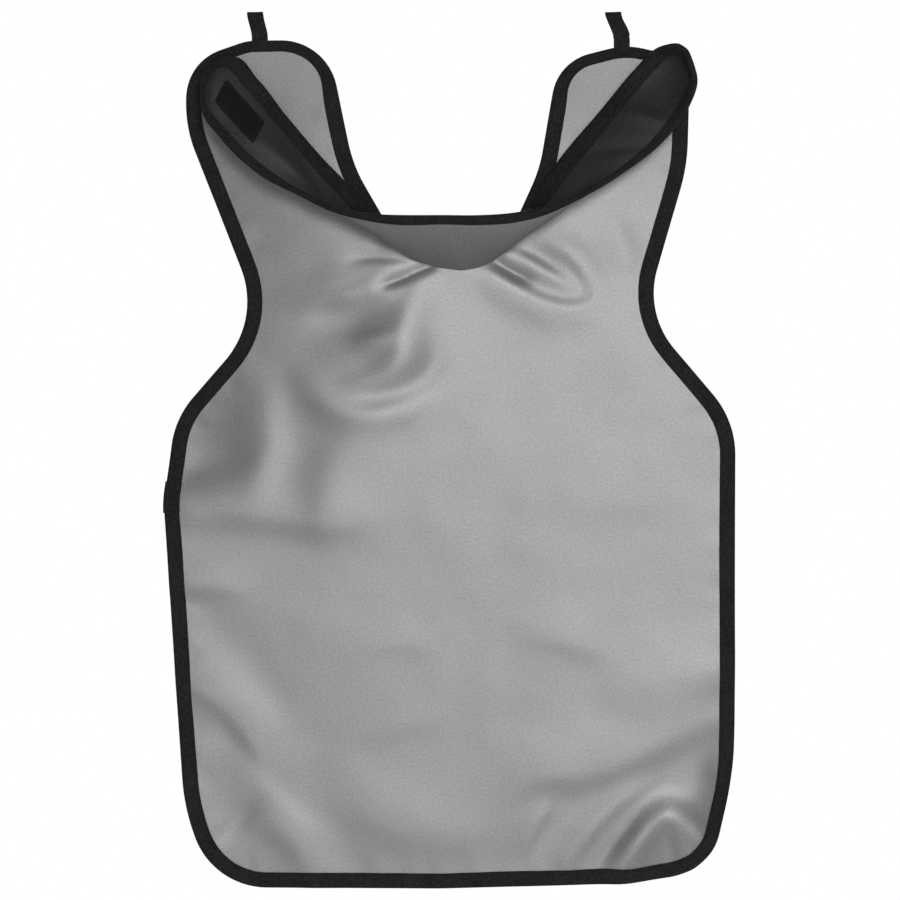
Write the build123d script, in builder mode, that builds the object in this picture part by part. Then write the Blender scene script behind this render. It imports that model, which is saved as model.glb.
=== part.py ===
"""Hanging dental X-ray apron with an attached neck collar.

Millimetres, +Z up, the apron's front faces -Y.  The origin is on the axis of the rail that
passes through both hanging loops, above the middle of the panel.
"""

import os
from math import cos, radians, sin

from build123d import *

# ---------------------------------------------------------------- driving values

# Thicknesses of the flat goods.
COVER = 0.8
CORE = 1.4
TAPE = 0.8
THREAD = 0.3
PLY_GAP = 0.1

# The binding tape, folded over every free edge.
TAPE_FLANGE = 12.7
STITCH_INSET = 10.4
STITCH_WIDTH = 0.6
COVER_INSET = 0.9
CORE_INSET = 3.0
BODY_GAP = 0.4

# Outline of panel and shoulder tabs: X, Z and corner radius, from the hem's middle
# round the left side, the left tab, the neckline and the right tab back to the hem.
OUTLINE = (
    (-9, -708, 600),
    (-194, -707, 62),
    (-217, -640, 170),
    (-234, -394, 100),
    (-226, -326, 72),
    (-155, -245, 74),
    (-217, -88, 100),
    (-215, -36, 42),
    (-166, -19, 40),
    (-101, -18, 46),
    (-80, -120, 120),
    (-34, -200, 52),
    (37, -200, 52),
    (72, -123, 120),
    (87, -36, 40),
    (142, -22, 60),
    (194, -34, 37),
    (192, -120, 150),
    (157, -241, 70),
    (231, -328, 76),
    (230, -620, 200),
    (209, -695, 50),
    (150, -704, 150),
)

# The line across each tab where it folds back over the shoulder.
FOLD_Z = -163.0

# Where the two ends of the edge tape lap, low on the left side.
LAP_Z = (-403.0, -378.0)

# Hanging loops: tape width, rail radius, height of each loop's foot and length of its tail.
LOOP_TAPE = 1.0
LOOP_WIDTH = 13.0
RAIL_RADIUS = 4.0
LOOP_X = {"left": -157.5, "right": 135.0}
LOOP_FOOT_Z = {"left": -17.5, "right": -19.5}
LOOP_FOOT_Y = -4.6
TAIL_LENGTH = 9.0

# Collar: a middle stretch that leans forward from the neckline, and two wings that lie
# over the shoulder tabs, each tilted so that its rim stands clear of the tab.
COLLAR_LEAN = 35.0
COLLAR_FOOT = (0, -6.3, -199)
COLLAR_OUTLINE = (
    (-66, 45, 3),
    (-66, 30, 12),
    (-32, 0, 50),
    (32, 0, 50),
    (66, 30, 12),
    (66, 45, 3),
)
WING_TILT = 24.0
WING_ROOT_CUT = 6.0

# Wing outlines: distance from the root along the wing, distance across it, corner radius.
WING_OUTLINE = {
    "left": (
        (-50, 0, 1),
        (45, 4, 150),
        (162, -11, 9),
        (178, 24, 22),
        (140, 53, 40),
        (80, 53, 90),
        (30, 32, 60),
        (-50, 31, 1),
    ),
    "right": (
        (-50, 0, 1),
        (50, 2, 150),
        (176, -6, 9),
        (188, 26, 22),
        (146, 56, 40),
        (80, 55, 90),
        (30, 33, 60),
        (-50, 31, 1),
    ),
}
WING_ROOT = {"left": (-62, -12, -148), "right": (61, -12, -148)}
WING_ANGLE = {"left": 138.8, "right": 46.0}

# Touch fasteners near the wing tips: size, and where the middle of each sits on its wing.
STRIP_SIZE = (44.0, 16.0)
STRIP_THICKNESS = 1.2
STRIP_CENTRE = {"left": (126, 23), "right": (136, 24)}
STRIP_TURN = {"left": -5.0, "right": -3.0}

# Half-thicknesses that follow from the stack.
PANEL_HALF = PLY_GAP / 2 + CORE + PLY_GAP + COVER
PANEL_FACE = PANEL_HALF + 0.05 + TAPE
COLLAR_CORE_HALF = CORE / 2
COLLAR_HALF = COLLAR_CORE_HALF + PLY_GAP + COVER
COLLAR_FACE = COLLAR_HALF + 0.05 + TAPE

# Regions of the front view: left, right, bottom, top.
FAR = 400.0
PANEL = (-FAR, FAR, -2 * FAR, FOLD_Z - BODY_GAP / 2)
TAB = {
    "left": (-FAR, -5, FOLD_Z + BODY_GAP / 2, FAR),
    "right": (5, FAR, FOLD_Z + BODY_GAP / 2, FAR),
}
NECKLINE = (-78, 78, -230, FOLD_Z - BODY_GAP / 2)
LAP = (-FAR, -180, LAP_Z[0], LAP_Z[1])

FRONT = Plane.XZ


# ---------------------------------------------------------------- drawing helpers


def draw(outline, inset, region):
    """The outline pulled in by inset (or out, if negative), kept only inside the region."""
    left, right, bottom, top = region
    with BuildSketch() as drawn:
        with BuildLine():
            FilletPolyline(
                *[(x, y) for x, y, _ in outline],
                radius=[r for _, _, r in outline],
                close=True,
            )
        make_face()
        if inset:
            offset(amount=-inset)
        with Locations(((left + right) / 2, (bottom + top) / 2)):
            Rectangle(right - left, top - bottom, mode=Mode.INTERSECT)
    return drawn.sketch


def band(outline, outer, inner, region):
    """The strip of the outline between two insets."""
    with BuildSketch() as strip:
        add(draw(outline, outer, region))
        add(draw(outline, inner, region), mode=Mode.SUBTRACT)
    return strip.sketch


def slab(plane, drawn, low, high):
    """A drawing made solid between two distances along the plane's normal."""
    with BuildPart() as solid:
        with BuildSketch(plane.offset(low)):
            add(drawn)
        extrude(amount=high - low)
    return solid.part


def folded_tape(plane, outline, region, half, face):
    """A tape folded over the outline's edge: two flanges and the wall that joins them."""
    flange = band(outline, 0, TAPE_FLANGE, region)
    with BuildPart() as tape:
        add(slab(plane, flange, half + 0.05, face))
        add(slab(plane, flange, -face, -half - 0.05))
        add(slab(plane, band(outline, 0, TAPE, region), -face, face))
    return tape.part


def stitch_line(plane, outline, region, face):
    """The proud line of thread along a binding tape's inner edge."""
    line = band(outline, STITCH_INSET, STITCH_INSET + STITCH_WIDTH, region)
    return slab(plane, line, face, face + THREAD)


def save(solid, name):
    solid.label = name
    export_step(solid, f"parts/{name}.step")


os.makedirs("parts", exist_ok=True)

# ---------------------------------------------------------------- panel

with BuildPart() as front_cover:
    add(slab(FRONT, draw(OUTLINE, COVER_INSET, PANEL), PANEL_HALF - COVER, PANEL_HALF))
save(front_cover.part, "front_cover")

with BuildPart() as back_cover:
    add(slab(FRONT, draw(OUTLINE, COVER_INSET, PANEL), -PANEL_HALF, COVER - PANEL_HALF))
save(back_cover.part, "back_cover")

with BuildPart() as front_core:
    add(slab(FRONT, draw(OUTLINE, CORE_INSET, PANEL), PLY_GAP / 2, PLY_GAP / 2 + CORE))
save(front_core.part, "front_core")

with BuildPart() as back_core:
    add(slab(FRONT, draw(OUTLINE, CORE_INSET, PANEL), -PLY_GAP / 2 - CORE, -PLY_GAP / 2))
save(back_core.part, "back_core")

neck_box = Pos((NECKLINE[0] + NECKLINE[1]) / 2, 0, (NECKLINE[2] + NECKLINE[3]) / 2) * Box(
    NECKLINE[1] - NECKLINE[0], 20, NECKLINE[3] - NECKLINE[2] + 1
)

with BuildPart() as edge_binding:
    add(folded_tape(FRONT, OUTLINE, PANEL, PANEL_HALF, PANEL_FACE))
    add(neck_box, mode=Mode.SUBTRACT)
save(edge_binding.part, "edge_binding")

# The neckline's tape is folded to the back only: in front the collar covers the seam.
with BuildPart() as neckline_binding:
    add(slab(FRONT, band(OUTLINE, 0, TAPE_FLANGE, NECKLINE), -PANEL_FACE, -PANEL_HALF - 0.05))
    add(slab(FRONT, band(OUTLINE, 0, TAPE, NECKLINE), -PANEL_FACE, PANEL_HALF))
save(neckline_binding.part, "neckline_binding")

with BuildPart() as binding_lap:
    add(slab(FRONT, band(OUTLINE, -TAPE, TAPE_FLANGE, LAP), PANEL_FACE, PANEL_FACE + TAPE))
    add(slab(FRONT, band(OUTLINE, -TAPE, 0, LAP), -PANEL_FACE, PANEL_FACE + TAPE))
save(binding_lap.part, "binding_lap")

with BuildPart() as panel_stitching:
    add(stitch_line(FRONT, OUTLINE, PANEL, PANEL_FACE))
    add(
        slab(FRONT, draw(OUTLINE, -5, LAP), PANEL_FACE, PANEL_FACE + TAPE),
        mode=Mode.SUBTRACT,
    )
    add(neck_box, mode=Mode.SUBTRACT)
save(panel_stitching.part, "panel_stitching")

# ---------------------------------------------------------------- shoulder tabs


def build_tab(side):
    """The sheets, binding and stitching of one shoulder tab."""
    region = TAB[side]
    cover = draw(OUTLINE, COVER_INSET, region)
    core = draw(OUTLINE, CORE_INSET, region)

    with BuildPart() as tab_front_cover:
        add(slab(FRONT, cover, PANEL_HALF - COVER, PANEL_HALF))
    save(tab_front_cover.part, f"{side}_tab_front_cover")

    with BuildPart() as tab_back_cover:
        add(slab(FRONT, cover, -PANEL_HALF, COVER - PANEL_HALF))
    save(tab_back_cover.part, f"{side}_tab_back_cover")

    with BuildPart() as tab_core:
        add(slab(FRONT, core, -PLY_GAP / 2 - CORE, PLY_GAP / 2 + CORE))
    save(tab_core.part, f"{side}_tab_core")

    with BuildPart() as tab_binding:
        add(folded_tape(FRONT, OUTLINE, region, PANEL_HALF, PANEL_FACE))
    save(tab_binding.part, f"{side}_tab_binding")

    tail_box = Pos(LOOP_X[side], 0, LOOP_FOOT_Z[side] - 10) * Box(LOOP_WIDTH + 0.4, 20, 20)
    with BuildPart() as tab_stitching:
        add(stitch_line(FRONT, OUTLINE, region, PANEL_FACE))
        add(tail_box, mode=Mode.SUBTRACT)
    save(tab_stitching.part, f"{side}_tab_stitching")


for side in ("left", "right"):
    build_tab(side)

# ---------------------------------------------------------------- hanging loops


def build_loop(side):
    """One tape loop round the rail, its sewn tail on the tab and the bar tack across it."""
    foot = (LOOP_FOOT_Y, LOOP_FOOT_Z[side])
    across = Plane.YZ.offset(LOOP_X[side] - LOOP_WIDTH / 2)

    with BuildPart() as loop:
        with BuildSketch(across):
            Circle(RAIL_RADIUS + LOOP_TAPE)
            with Locations(foot):
                Circle(LOOP_TAPE)
            make_hull()
        extrude(amount=LOOP_WIDTH)
        with BuildSketch(across):
            Circle(RAIL_RADIUS)
            with Locations((foot[0] * 0.93, foot[1] * 0.93)):
                Circle(0.2)
            make_hull()
        extrude(amount=LOOP_WIDTH, mode=Mode.SUBTRACT)
    save(loop.part, f"{side}_loop")

    tail_top = LOOP_FOOT_Z[side] - LOOP_TAPE - BODY_GAP
    tail_face = -PANEL_FACE - 2 * LOOP_TAPE
    with BuildPart() as tail:
        with Locations((LOOP_X[side], -PANEL_FACE - LOOP_TAPE, tail_top - TAIL_LENGTH / 2)):
            Box(LOOP_WIDTH, 2 * LOOP_TAPE, TAIL_LENGTH)
    save(tail.part, f"{side}_loop_tail")

    with BuildPart() as tack:
        with Locations((LOOP_X[side], tail_face - THREAD / 2, tail_top - TAIL_LENGTH + 2)):
            Box(LOOP_WIDTH - 2, THREAD, 1.6)
    save(tack.part, f"{side}_loop_tack")


for side in ("left", "right"):
    build_loop(side)

# ---------------------------------------------------------------- collar, middle stretch

lean = radians(COLLAR_LEAN)
collar_plane = Plane(
    origin=COLLAR_FOOT, x_dir=(1, 0, 0), z_dir=(0, -cos(lean), -sin(lean))
)
EVERYWHERE = (-FAR, FAR, -FAR, FAR)
collar_sheet = draw(COLLAR_OUTLINE, COVER_INSET, EVERYWHERE)
rim_region = (-FAR, FAR, COLLAR_OUTLINE[0][1] - TAPE_FLANGE, FAR)

with BuildPart() as collar_outer:
    add(slab(collar_plane, collar_sheet, COLLAR_HALF - COVER, COLLAR_HALF))
save(collar_outer.part, "collar_outer")

with BuildPart() as collar_core:
    add(
        slab(
            collar_plane,
            draw(COLLAR_OUTLINE, CORE_INSET, EVERYWHERE),
            -COLLAR_CORE_HALF,
            COLLAR_CORE_HALF,
        )
    )
save(collar_core.part, "collar_core")

with BuildPart() as collar_lining:
    add(slab(collar_plane, collar_sheet, -COLLAR_HALF, COVER - COLLAR_HALF))
save(collar_lining.part, "collar_lining")

rim_flange = draw(COLLAR_OUTLINE, 0, rim_region)
rim_wall = draw(COLLAR_OUTLINE, 0, (-FAR, FAR, COLLAR_OUTLINE[0][1] - TAPE, FAR))
with BuildPart() as collar_binding:
    add(slab(collar_plane, rim_flange, COLLAR_HALF + 0.05, COLLAR_FACE))
    add(slab(collar_plane, rim_flange, -COLLAR_FACE, -COLLAR_HALF - 0.05))
    add(slab(collar_plane, rim_wall, -COLLAR_FACE, COLLAR_FACE))
save(collar_binding.part, "collar_binding")

# ---------------------------------------------------------------- collar wings


def wing_plane(side):
    """The wing's own plane: x runs from root to tip, the normal leaves the lining."""
    along = radians(WING_ANGLE[side])
    tilt = radians(WING_TILT)
    turn = 1 if side == "left" else -1
    run = Vector(cos(along), 0, sin(along))
    across = Vector(-turn * sin(along) * cos(tilt), -sin(tilt), turn * cos(along) * cos(tilt))
    return Plane(origin=WING_ROOT[side], x_dir=run, z_dir=turn * run.cross(across))


def build_wing(side):
    """The sheets and binding of one wing and the touch fastener near its tip."""
    plane = wing_plane(side)
    turn = 1 if side == "left" else -1
    outline = [(x, turn * y, r) for x, y, r in WING_OUTLINE[side]]
    region = (WING_ROOT_CUT, FAR, -FAR, FAR)
    sheet = draw(outline, COVER_INSET, region)

    with BuildPart() as wing_lining:
        add(slab(plane, sheet, COLLAR_HALF - COVER, COLLAR_HALF))
    save(wing_lining.part, f"{side}_wing_lining")

    with BuildPart() as wing_core:
        add(
            slab(
                plane,
                draw(outline, CORE_INSET, region),
                -COLLAR_CORE_HALF,
                COLLAR_CORE_HALF,
            )
        )
    save(wing_core.part, f"{side}_wing_core")

    with BuildPart() as wing_outer:
        add(slab(plane, sheet, -COLLAR_HALF, COVER - COLLAR_HALF))
    save(wing_outer.part, f"{side}_wing_outer")

    with BuildPart() as wing_binding:
        add(folded_tape(plane, outline, region, COLLAR_HALF, COLLAR_FACE))
    save(wing_binding.part, f"{side}_wing_binding")

    # The hook strip is on the left wing's lining, the loop strip on the right wing's cover.
    face = COLLAR_HALF if side == "left" else -COLLAR_HALF
    outward = 1 if side == "left" else -1
    strip_name = "hook_strip" if side == "left" else "loop_strip"
    u, v = STRIP_CENTRE[side]
    at = Location((u, turn * v), turn * STRIP_TURN[side])
    low, high = sorted((face, face + outward * STRIP_THICKNESS))
    with BuildSketch() as strip_shape:
        with Locations(at):
            RectangleRounded(STRIP_SIZE[0], STRIP_SIZE[1], 2)
    with BuildPart() as strip:
        add(slab(plane, strip_shape.sketch, low, high))
    save(strip.part, strip_name)

    with BuildSketch() as seam_shape:
        with Locations(at):
            RectangleRounded(STRIP_SIZE[0] - 4, STRIP_SIZE[1] - 4, 1.5)
            RectangleRounded(
                STRIP_SIZE[0] - 5.2, STRIP_SIZE[1] - 5.2, 1.0, mode=Mode.SUBTRACT
            )
    outer_face = face + outward * STRIP_THICKNESS
    low, high = sorted((outer_face, outer_face + outward * THREAD))
    with BuildPart() as seam:
        add(slab(plane, seam_shape.sketch, low, high))
    save(seam.part, f"{strip_name}_stitching")


for side in ("left", "right"):
    build_wing(side)
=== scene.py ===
"""Looks of the hanging dental apron: every soft piece, its cloth, and the studio."""

import math

import bpy
import numpy as np
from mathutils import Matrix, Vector
from mathutils.geometry import delaunay_2d_cdt


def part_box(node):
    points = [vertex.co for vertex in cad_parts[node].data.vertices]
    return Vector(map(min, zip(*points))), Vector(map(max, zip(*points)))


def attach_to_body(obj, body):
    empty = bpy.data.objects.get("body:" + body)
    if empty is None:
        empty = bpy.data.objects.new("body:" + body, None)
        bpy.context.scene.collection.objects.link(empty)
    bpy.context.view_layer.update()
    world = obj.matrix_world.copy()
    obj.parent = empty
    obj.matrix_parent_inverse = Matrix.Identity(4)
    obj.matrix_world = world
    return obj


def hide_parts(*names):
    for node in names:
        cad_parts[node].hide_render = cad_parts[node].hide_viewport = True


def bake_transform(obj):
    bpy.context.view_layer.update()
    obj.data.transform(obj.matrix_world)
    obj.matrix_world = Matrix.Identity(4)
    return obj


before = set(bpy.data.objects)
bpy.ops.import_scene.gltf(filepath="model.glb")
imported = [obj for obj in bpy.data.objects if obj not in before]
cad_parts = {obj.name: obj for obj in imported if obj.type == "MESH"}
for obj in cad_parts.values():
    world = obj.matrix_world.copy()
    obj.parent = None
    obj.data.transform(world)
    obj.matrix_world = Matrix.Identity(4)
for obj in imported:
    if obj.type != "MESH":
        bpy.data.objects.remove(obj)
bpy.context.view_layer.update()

# ------------ driving values (mm)

MM = 0.001
SEED = 7
OUTLINE_STEP = 3.5
COLLAR_STEP = 2.5

# Outline of panel and tabs: X, Z and corner radius, clockwise from the hem's middle.
OUTLINE = (
    (-9, -708, 600),
    (-194, -707, 62),
    (-217, -640, 170),
    (-234, -394, 100),
    (-226, -326, 72),
    (-155, -245, 74),
    (-217, -88, 100),
    (-215, -36, 42),
    (-166, -19, 40),
    (-101, -18, 46),
    (-80, -120, 120),
    (-34, -200, 52),
    (37, -200, 52),
    (72, -123, 120),
    (87, -36, 40),
    (142, -22, 60),
    (194, -34, 37),
    (192, -120, 150),
    (157, -241, 70),
    (231, -328, 76),
    (230, -620, 200),
    (209, -695, 50),
    (150, -704, 150),
)
FOLD_Z = -163.0
LAP_Z = (-403.0, -378.0)

# Stack of the flat goods, measured from the middle of the sheet.
CORE_FACE = 0.9
COVER_BACK = 1.55
COVER_FACE = 2.35
TAPE = 0.9
FLANGE = 12.7
STITCH_INSET = 10.6
STITCH_PITCH = 3.0

# How far the covers and the core stop short of the outline.
COVER_INSET = 0.9
CORE_INSET = 3.0

# Mesh pitches before any halving: on plain stretches, and where the folds are sharp.
COARSE = 8.0
FINE = 4.0
# As shares of the pitch: row spacing, random shift off the grid, distance kept from the loop.
ROW_SPACING = 0.866
JITTER = 0.12
CLEAR_OF_LOOP = 0.55

# Collar: stations along the band, each with its rim point, its inner-edge point and how far
# the middle of the band swells out of the straight line between the two.
COLLAR_STATIONS = (
    ((-203, -10, -58), (-197, -9, -37), (-1, -1, 0)),
    ((-201, -15, -75), (-180, -8, -33), (-3, -5, 1)),
    ((-185, -21, -101), (-157, -8, -52), (-2, -6, 1)),
    ((-155, -27, -130), (-135, -8, -80), (-1, -5, 0)),
    ((-122, -30, -147), (-106, -9, -114), (-3, -3, -4)),
    ((-88, -34, -159), (-79, -9, -143), (-6, -4, -9)),
    ((-60, -36, -163), (-62, -7, -168), (-6, -6, -9)),
    ((-36, -37, -164), (-38, -5, -192), (-3, -6, -6)),
    ((-8, -37, -164), (-8, -4, -203), (0, -7, -2)),
    ((24, -37, -164), (20, -4, -203), (1, -7, -3)),
    ((50, -36, -162), (42, -5, -190), (4, -6, -6)),
    ((74, -35, -157), (58, -7, -166), (6, -5, -9)),
    ((102, -33, -147), (72, -9, -140), (5, -4, -8)),
    ((138, -29, -129), (92, -8, -111), (3, -4, -4)),
    ((170, -28, -104), (122, -8, -76), (2, -4, 0)),
    ((189, -31, -78), (149, -11, -43), (3, 5, 1)),
    ((195, -38, -57), (163, -21, -30), (5, 7, 2)),
    ((190, -44, -41), (172, -35, -26), (4, 3, 4)),
)
COLLAR_WIDTH = 46.0
COLLAR_TIP_RADIUS = 16.0
COLLAR_ROOTS = (5, 12)
COLLAR_CORE_FACE = 0.65
COLLAR_BACK = 0.75
COLLAR_FACE = 1.4

# ------------ curves in the flat


def unit(rows):
    """The same vectors with length 1."""
    return rows / np.maximum(np.linalg.norm(rows, axis=-1, keepdims=True), 1e-12)


def right_of(tangent):
    """Unit vectors square to the given ones, on their right."""
    return unit(np.stack([tangent[:, 1], -tangent[:, 0]], 1))


def run_along(path):
    """The distance gone along a path at each of its points."""
    return np.concatenate([[0], np.cumsum(np.linalg.norm(np.diff(path, axis=0), axis=1))])


def grid_points(xs, zs):
    """The points of a grid, row by row."""
    gx, gz = np.meshgrid(xs, zs)
    return np.stack([gx.ravel(), gz.ravel()], 1)


def resampled(path, step, closed):
    """The same curve with points evenly spaced along it."""
    if closed:
        path = np.vstack([path, path[:1]])
    run = run_along(path)
    count = max(2, int(round(run[-1] / step)))
    at = np.linspace(0, run[-1], count + 1)
    even = np.stack([np.interp(at, run, path[:, k]) for k in range(path.shape[1])], 1)
    return even[:-1] if closed else even


def filleted(points, step):
    """A closed path with rounded corners, as evenly spaced points."""
    corners = np.array([p[:2] for p in points], float)
    dense = []
    for i, (x, z, radius) in enumerate(points):
        here = corners[i]
        back = corners[i - 1] - here
        ahead = corners[(i + 1) % len(points)] - here
        back /= np.linalg.norm(back)
        ahead /= np.linalg.norm(ahead)
        half = math.acos(np.clip(back @ ahead, -1, 1)) / 2
        middle = back + ahead
        middle *= radius / math.sin(half) / np.linalg.norm(middle)
        start = back * radius / math.tan(half) - middle
        first = math.atan2(start[1], start[0])
        side = 1 if back[0] * ahead[1] - back[1] * ahead[0] < 0 else -1
        for share in np.linspace(0, 1, 24):
            angle = first + side * (math.pi - 2 * half) * share
            dense.append(here + middle + radius * np.array([math.cos(angle), math.sin(angle)]))
    return resampled(np.array(dense), step, True)


def inward_of(path):
    """Unit vectors pointing into a closed clockwise path."""
    return right_of(np.roll(path, -1, 0) - np.roll(path, 1, 0))


def runs_where(path, inward, keep):
    """The stretches of a closed path where keep(points) is positive, cut exactly at zero."""
    value = keep(path)
    rows = np.hstack([path, inward])
    count = len(path)
    runs = []
    for start in range(count):
        if value[start] <= 0 or value[start - 1] > 0:
            continue
        stretch = [crossing(rows, value, start - 1, start)]
        k = start
        while value[k % count] > 0:
            stretch.append(rows[k % count])
            k += 1
        stretch.append(crossing(rows, value, (k - 1) % count, k % count))
        stretch = np.array(stretch)
        runs.append((stretch[:, :2], stretch[:, 2:]))
    return runs


def crossing(rows, value, i, j):
    """The point and inward vector between rows i and j where value passes zero."""
    share = value[i] / (value[i] - value[j])
    row = rows[i] + (rows[j] - rows[i]) * share
    row[2:] /= np.linalg.norm(row[2:])
    return row


def loop_of(runs, inset, step):
    """Runs of an outline pulled in by inset and joined by straight lines into one loop."""
    loop = []
    for k, (path, inward) in enumerate(runs):
        pulled = path + inward * inset
        following = runs[(k + 1) % len(runs)]
        target = following[0][0] + following[1][0] * inset
        gap = np.linalg.norm(target - pulled[-1])
        count = max(1, int(round(gap / step)))
        bridge = pulled[-1] + (target - pulled[-1]) * np.linspace(0, 1, count + 1)[:, None]
        loop.append(pulled)
        loop.append(bridge[1:-1])
    return np.vstack(loop)


def inside(points, loop):
    """Which points lie inside a closed loop."""
    result = np.zeros(len(points), bool)
    x, z = points[:, 0], points[:, 1]
    ends = np.roll(loop, -1, 0)
    for (x0, z0), (x1, z1) in zip(loop, ends):
        if z0 == z1:
            continue
        spans = (z0 > z) != (z1 > z)
        result ^= spans & (x < (x1 - x0) * (z - z0) / (z1 - z0) + x0)
    return result


def nearest(points, path):
    """Distance from each point to the nearest point of a path, and that point's index."""
    best = np.full(len(points), 1e9)
    index = np.zeros(len(points), int)
    for low in range(0, len(points), 4000):
        part = points[low : low + 4000]
        d = ((part[:, None, :] - path[None, :, :]) ** 2).sum(2)
        index[low : low + 4000] = d.argmin(1)
        best[low : low + 4000] = np.sqrt(d.min(1))
    return best, index


# ------------ folds in the cloth


def smooth_path(points, count=14):
    """A curve through a few points, as a polyline."""
    p = np.array(points, float)
    if len(p) == 2:
        return p[0] + (p[1] - p[0]) * np.linspace(0, 1, 3)[:, None]
    padded = np.vstack([2 * p[0] - p[1], p, 2 * p[-1] - p[-2]])
    out = []
    for k in np.linspace(0, len(p) - 1, count):
        i = min(int(k), len(p) - 2)
        t = k - i
        a, b, c, d = padded[i : i + 4]
        bend = (2 * a - 5 * b + 4 * c - d) * t**2 + (3 * b - a - 3 * c + d) * t**3
        out.append(0.5 * (2 * b + (c - a) * t + bend))
    return np.array(out)


def eased(share):
    """A smooth step from 0 to 1."""
    share = np.clip(share, 0, 1)
    return share * share * (3 - 2 * share)


def add_fold(height, xs, zs, path, rise, left, right, start=0.0, end=0.0):
    """Raise (or sink) the cloth along a path by a row of soft, overlapping swellings.

    rise is towards the viewer at the path; left and right are how far the fold reaches on
    each side, seen along the path; start and end are the share of the rise kept there.
    """
    line = resampled(smooth_path(path), min(left, right) * 0.5, False)
    step = np.linalg.norm(np.diff(line, axis=0), axis=1).mean()
    tangent = unit(np.gradient(line, axis=0))
    share = np.linspace(0, 1, len(line))
    taper = start + (1 - start) * eased(share / 0.35)
    taper *= end + (1 - end) * eased((1 - share) / 0.35)
    low = line.min(0) - 2.6 * max(left, right)
    high = line.max(0) + 2.6 * max(left, right)
    cols = np.where((xs >= low[0]) & (xs <= high[0]))[0]
    rows = np.where((zs >= low[1]) & (zs <= high[1]))[0]
    gx, gz = np.meshgrid(xs[cols], zs[rows])
    swelling = np.zeros(gx.shape)
    for (x, z), (tx, tz), kept in zip(line, tangent, taper):
        dx, dz = gx - x, gz - z
        side = (tx * dz - tz * dx) / (0.35 * min(left, right))
        width = right + (left - right) / (1 + np.exp(-np.clip(side, -30, 30)))
        swelling += kept * step / (width * math.sqrt(math.pi)) * np.exp(-(dx**2 + dz**2) / width**2)
    height[np.ix_(rows, cols)] += rise * swelling


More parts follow.
